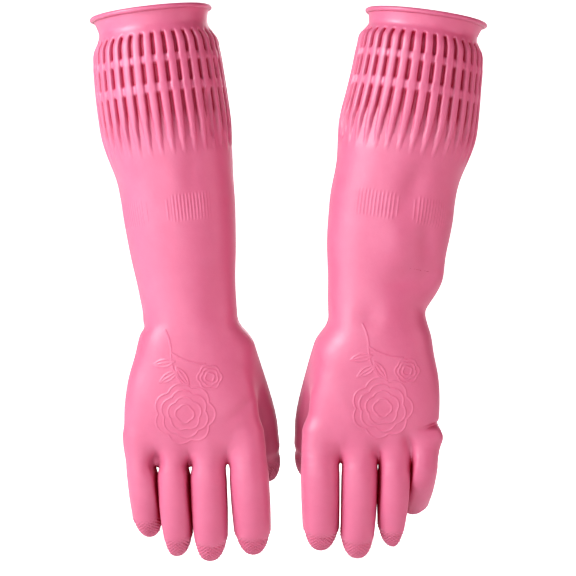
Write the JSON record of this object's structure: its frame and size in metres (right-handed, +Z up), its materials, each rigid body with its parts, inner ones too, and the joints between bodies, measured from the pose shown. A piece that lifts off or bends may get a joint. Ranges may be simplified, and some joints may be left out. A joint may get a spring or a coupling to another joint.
{
  "type": "household rubber gloves",
  "caption": "Pair of long household rubber gloves, fingers down, with rolled bead rims, ribbed elastic cuffs, plain sleeves and curved fingers.",
  "frame": {"origin": "on the ground under the middle of the pair's bounding box, where the longest fingertip hangs down to", "axes": "+Z up towards the cuffs' openings, +X towards the left-hand glove, +Y on the palms' side, so the backs of the hands face -Y"},
  "size_m": [0.2734, 0.1034, 0.385],
  "materials": {
    "rolled_bead": "smooth pink dipped latex rim",
    "ribbed_cuff": "pink dipped latex with raised upright ribs",
    "upper_sleeve": "smooth pink dipped latex, soft sheen",
    "forearm_sleeve": "smooth pink dipped latex, soft sheen",
    "hand_shell": "smooth pink dipped latex, soft sheen",
    "fingers": "smooth pink dipped latex, with a raised grip pattern on the tips"
  },
  "bodies": {
    "right_cuff": {"right_rolled_bead": "rolled_bead", "right_ribbed_cuff": "ribbed_cuff", "right_upper_sleeve": "upper_sleeve"},
    "right_forearm": {"right_forearm_sleeve": "forearm_sleeve"},
    "right_hand": {"right_hand_shell": "hand_shell"},
    "right_index_root": {"right_index_root": "fingers"},
    "right_index_middle": {"right_index_middle": "fingers"},
    "right_index_tip": {"right_index_tip": "fingers"},
    "right_middle_root": {"right_middle_root": "fingers"},
    "right_middle_middle": {"right_middle_middle": "fingers"},
    "right_middle_tip": {"right_middle_tip": "fingers"},
    "right_ring_root": {"right_ring_root": "fingers"},
    "right_ring_middle": {"right_ring_middle": "fingers"},
    "right_ring_tip": {"right_ring_tip": "fingers"},
    "right_little_root": {"right_little_root": "fingers"},
    "right_little_middle": {"right_little_middle": "fingers"},
    "right_little_tip": {"right_little_tip": "fingers"},
    "right_thumb_root": {"right_thumb_root": "fingers"},
    "right_thumb_tip": {"right_thumb_tip": "fingers"},
    "left_cuff": {"left_rolled_bead": "rolled_bead", "left_ribbed_cuff": "ribbed_cuff", "left_upper_sleeve": "upper_sleeve"},
    "left_forearm": {"left_forearm_sleeve": "forearm_sleeve"},
    "left_hand": {"left_hand_shell": "hand_shell"},
    "left_index_root": {"left_index_root": "fingers"},
    "left_index_middle": {"left_index_middle": "fingers"},
    "left_index_tip": {"left_index_tip": "fingers"},
    "left_middle_root": {"left_middle_root": "fingers"},
    "left_middle_middle": {"left_middle_middle": "fingers"},
    "left_middle_tip": {"left_middle_tip": "fingers"},
    "left_ring_root": {"left_ring_root": "fingers"},
    "left_ring_middle": {"left_ring_middle": "fingers"},
    "left_ring_tip": {"left_ring_tip": "fingers"},
    "left_little_root": {"left_little_root": "fingers"},
    "left_little_middle": {"left_little_middle": "fingers"},
    "left_little_tip": {"left_little_tip": "fingers"},
    "left_thumb_root": {"left_thumb_root": "fingers"},
    "left_thumb_tip": {"left_thumb_tip": "fingers"}
  },
  "joints": [
    {"name": "right_sleeve_bend", "type": "hinge", "parent": "right_cuff", "child": "right_forearm", "pos_m": [-0.07674, -0.01027, 0.23796], "axis": [0.9917, 0, 0.1288], "range_deg": [-15, 15], "stiffness_Nm_per_rad": 0.4},
    {"name": "right_wrist_bend", "type": "hinge", "parent": "right_forearm", "child": "right_hand", "pos_m": [-0.06773, -0.01027, 0.16855], "axis": [1, 0, 0], "range_deg": [-25, 45], "stiffness_Nm_per_rad": 0.2},
    {"name": "right_index_knuckle_bend", "type": "hinge", "parent": "right_hand", "child": "right_index_root", "pos_m": [-0.02703, -0.01027, 0.06055], "axis": [0.9982, 0, 0.0593], "range_deg": [-10, 45], "stiffness_Nm_per_rad": 0.02},
    {"name": "right_index_middle_bend", "type": "hinge", "parent": "right_index_root", "child": "right_index_middle", "pos_m": [-0.02579, -0.00808, 0.0397], "axis": [0.9982, 0, 0.0593], "range_deg": [-10, 55], "stiffness_Nm_per_rad": 0.01},
    {"name": "right_index_tip_bend", "type": "hinge", "parent": "right_index_middle", "child": "right_index_tip", "pos_m": [-0.02472, -0.0022, 0.02166], "axis": [0.9982, 0, 0.0593], "range_deg": [-6, 33], "stiffness_Nm_per_rad": 0.005},
    {"name": "right_middle_knuckle_bend", "type": "hinge", "parent": "right_hand", "child": "right_middle_root", "pos_m": [-0.05543, -0.01027, 0.05855], "axis": [0.9995, 0, 0.0332], "range_deg": [-10, 45], "stiffness_Nm_per_rad": 0.02},
    {"name": "right_middle_middle_bend", "type": "hinge", "parent": "right_middle_root", "child": "right_middle_middle", "pos_m": [-0.0547, -0.00797, 0.03668], "axis": [0.9995, 0, 0.0332], "range_deg": [-10, 55], "stiffness_Nm_per_rad": 0.01},
    {"name": "right_middle_tip_bend", "type": "hinge", "parent": "right_middle_middle", "child": "right_middle_tip", "pos_m": [-0.05407, -0.00179, 0.01767], "axis": [0.9995, 0, 0.0332], "range_deg": [-6, 33], "stiffness_Nm_per_rad": 0.005},
    {"name": "right_ring_knuckle_bend", "type": "hinge", "parent": "right_hand", "child": "right_ring_root", "pos_m": [-0.07893, -0.01027, 0.05955], "axis": [0.999, 0, 0.0436], "range_deg": [-10, 45], "stiffness_Nm_per_rad": 0.02},
    {"name": "right_ring_middle_bend", "type": "hinge", "parent": "right_ring_root", "child": "right_ring_middle", "pos_m": [-0.07802, -0.00771, 0.03872], "axis": [0.999, 0, 0.0436], "range_deg": [-10, 55], "stiffness_Nm_per_rad": 0.01},
    {"name": "right_ring_tip_bend", "type": "hinge", "parent": "right_ring_middle", "child": "right_ring_tip", "pos_m": [-0.07723, -0.00153, 0.02077], "axis": [0.999, 0, 0.0436], "range_deg": [-6, 33], "stiffness_Nm_per_rad": 0.005},
    {"name": "right_little_knuckle_bend", "type": "hinge", "parent": "right_hand", "child": "right_little_root", "pos_m": [-0.10203, -0.01027, 0.06355], "axis": [0.9962, 0, 0.0872], "range_deg": [-10, 45], "stiffness_Nm_per_rad": 0.02},
    {"name": "right_little_middle_bend", "type": "hinge", "parent": "right_little_root", "child": "right_little_middle", "pos_m": [-0.10053, -0.00723, 0.04638], "axis": [0.9962, 0, 0.0872], "range_deg": [-10, 55], "stiffness_Nm_per_rad": 0.01},
    {"name": "right_little_tip_bend", "type": "hinge", "parent": "right_little_middle", "child": "right_little_tip", "pos_m": [-0.09923, -0.00124, 0.0316], "axis": [0.9962, 0, 0.0872], "range_deg": [-6, 33], "stiffness_Nm_per_rad": 0.005},
    {"name": "right_thumb_swing", "type": "hinge", "parent": "right_hand", "child": "right_thumb_root", "pos_m": [-0.02373, 0.02273, 0.10255], "axis": [0.9135, 0.2885, 0.2869], "range_deg": [-5, 40], "stiffness_Nm_per_rad": 0.02},
    {"name": "right_thumb_bend", "type": "hinge", "parent": "right_thumb_root", "child": "right_thumb_tip", "pos_m": [-0.01999, 0.03318, 0.08015], "axis": [0.9654, -0.2578, 0.0406], "range_deg": [-5, 50], "stiffness_Nm_per_rad": 0.01},
    {"name": "left_glove_apart", "type": "slide", "parent": "right_cuff", "child": "left_cuff", "axis": [1, 0, 0], "range_m": [0, 0.15]},
    {"name": "left_sleeve_bend", "type": "hinge", "parent": "left_cuff", "child": "left_forearm", "pos_m": [0.07147, -0.01027, 0.23955], "axis": [0.9857, 0, -0.1685], "range_deg": [-15, 15], "stiffness_Nm_per_rad": 0.4},
    {"name": "left_wrist_bend", "type": "hinge", "parent": "left_forearm", "child": "left_hand", "pos_m": [0.05967, -0.01027, 0.17055], "axis": [0.9999, 0, 0.0122], "range_deg": [-25, 45], "stiffness_Nm_per_rad": 0.2},
    {"name": "left_index_knuckle_bend", "type": "hinge", "parent": "left_hand", "child": "left_index_root", "pos_m": [0.0203, -0.01027, 0.06206], "axis": [1, 0, 0.0052], "range_deg": [-10, 45], "stiffness_Nm_per_rad": 0.02},
    {"name": "left_index_middle_bend", "type": "hinge", "parent": "left_index_root", "child": "left_index_middle", "pos_m": [0.0204, -0.00808, 0.04117], "axis": [1, 0, 0.0052], "range_deg": [-10, 55], "stiffness_Nm_per_rad": 0.01},
    {"name": "left_index_tip_bend", "type": "hinge", "parent": "left_index_middle", "child": "left_index_tip", "pos_m": [0.0205, -0.0022, 0.0231], "axis": [1, 0, 0.0052], "range_deg": [-6, 33], "stiffness_Nm_per_rad": 0.005},
    {"name": "left_middle_knuckle_bend", "type": "hinge", "parent": "left_hand", "child": "left_middle_root", "pos_m": [0.04872, -0.01027, 0.0604], "axis": [0.9998, 0, -0.0209], "range_deg": [-10, 45], "stiffness_Nm_per_rad": 0.02},
    {"name": "left_middle_middle_bend", "type": "hinge", "parent": "left_middle_root", "child": "left_middle_middle", "pos_m": [0.04826, -0.00797, 0.03853], "axis": [0.9998, 0, -0.0209], "range_deg": [-10, 55], "stiffness_Nm_per_rad": 0.01},
    {"name": "left_middle_tip_bend", "type": "hinge", "parent": "left_middle_middle", "child": "left_middle_tip", "pos_m": [0.04786, -0.00179, 0.01951], "axis": [0.9998, 0, -0.0209], "range_deg": [-6, 33], "stiffness_Nm_per_rad": 0.005},
    {"name": "left_ring_knuckle_bend", "type": "hinge", "parent": "left_hand", "child": "left_ring_root", "pos_m": [0.0722, -0.01027, 0.06169], "axis": [0.9995, 0, -0.0314], "range_deg": [-10, 45], "stiffness_Nm_per_rad": 0.02},
    {"name": "left_ring_middle_bend", "type": "hinge", "parent": "left_ring_root", "child": "left_ring_middle", "pos_m": [0.07155, -0.00771, 0.04086], "axis": [0.9995, 0, -0.0314], "range_deg": [-10, 55], "stiffness_Nm_per_rad": 0.01},
    {"name": "left_ring_tip_bend", "type": "hinge", "parent": "left_ring_middle", "child": "left_ring_tip", "pos_m": [0.07098, -0.00153, 0.0229], "axis": [0.9995, 0, -0.0314], "range_deg": [-6, 33], "stiffness_Nm_per_rad": 0.005},
    {"name": "left_little_knuckle_bend", "type": "hinge", "parent": "left_hand", "child": "left_little_root", "pos_m": [0.09525, -0.01027, 0.06597], "axis": [0.9972, 0, -0.075], "range_deg": [-35, 25], "stiffness_Nm_per_rad": 0.02},
    {"name": "left_little_middle_bend", "type": "hinge", "parent": "left_little_root", "child": "left_little_middle", "pos_m": [0.09418, -0.00023, 0.05168], "axis": [0.9972, 0, -0.075], "range_deg": [-10, 55], "stiffness_Nm_per_rad": 0.01},
    {"name": "left_little_tip_bend", "type": "hinge", "parent": "left_little_middle", "child": "left_little_tip", "pos_m": [0.09336, 0.01147, 0.0408], "axis": [0.9972, 0, -0.075], "range_deg": [-6, 33], "stiffness_Nm_per_rad": 0.005},
    {"name": "left_thumb_swing", "type": "hinge", "parent": "left_hand", "child": "left_thumb_root", "pos_m": [0.01648, 0.02273, 0.10401], "axis": [0.9351, -0.2945, -0.1973], "range_deg": [-5, 40], "stiffness_Nm_per_rad": 0.02},
    {"name": "left_thumb_bend", "type": "hinge", "parent": "left_thumb_root", "child": "left_thumb_tip", "pos_m": [0.01499, 0.03318, 0.08135], "axis": [0.9664, 0.2516, 0.0525], "range_deg": [-5, 50], "stiffness_Nm_per_rad": 0.01}
  ],
  "couplings": [
    {"joint": "right_index_tip_bend", "follows": "right_index_middle_bend", "ratio": 0.6},
    {"joint": "right_middle_tip_bend", "follows": "right_middle_middle_bend", "ratio": 0.6},
    {"joint": "right_ring_tip_bend", "follows": "right_ring_middle_bend", "ratio": 0.6},
    {"joint": "right_little_tip_bend", "follows": "right_little_middle_bend", "ratio": 0.6},
    {"joint": "left_index_tip_bend", "follows": "left_index_middle_bend", "ratio": 0.6},
    {"joint": "left_middle_tip_bend", "follows": "left_middle_middle_bend", "ratio": 0.6},
    {"joint": "left_ring_tip_bend", "follows": "left_ring_middle_bend", "ratio": 0.6},
    {"joint": "left_little_tip_bend", "follows": "left_little_middle_bend", "ratio": 0.6}
  ]
}
